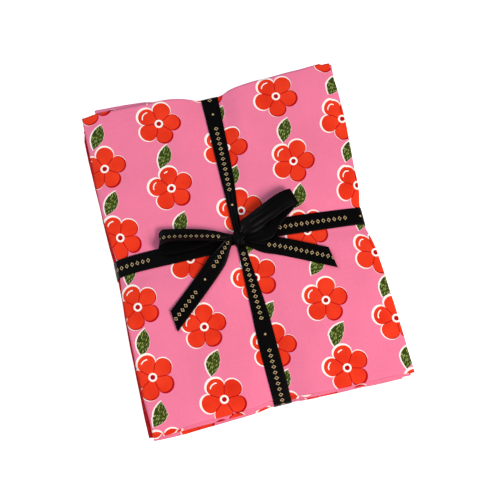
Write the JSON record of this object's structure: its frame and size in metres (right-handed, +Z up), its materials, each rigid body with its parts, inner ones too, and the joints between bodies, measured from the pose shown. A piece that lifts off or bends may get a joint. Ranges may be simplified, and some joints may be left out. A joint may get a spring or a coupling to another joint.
{
  "type": "fat quarter bundle",
  "caption": "Stack of folded fat quarters of printed cotton, tied lengthwise and crosswise with a narrow ribbon in a bow.",
  "frame": {"origin": "on the surface the bundle lies on, under the middle of its outline", "axes": "+X to the right across the folded width, +Y to the back along the folded length, +Z up"},
  "size_m": [0.1873, 0.2333, 0.0491],
  "materials": {
    "pink": "plain woven printed cotton, matte",
    "rose": "plain woven cotton, matte",
    "red": "plain woven cotton, matte",
    "coral": "plain woven cotton, matte",
    "cream": "plain woven cotton, matte",
    "ribbon": "satin-faced woven ribbon"
  },
  "bodies": {
    "root": {"fat_quarter_01": "rose", "fat_quarter_02": "red", "fat_quarter_03": "pink", "fat_quarter_04": "cream", "fat_quarter_05": "coral", "fat_quarter_06": "pink", "fat_quarter_07": "rose", "fat_quarter_08": "red", "fat_quarter_09": "red", "fat_quarter_10": "pink", "ribbon_lengthwise": "ribbon", "ribbon_crosswise": "ribbon", "ribbon_knot": "ribbon", "bow_loop_left": "ribbon", "bow_loop_right": "ribbon", "ribbon_end_left": "ribbon", "ribbon_end_right": "ribbon"}
  },
  "joints": []
}
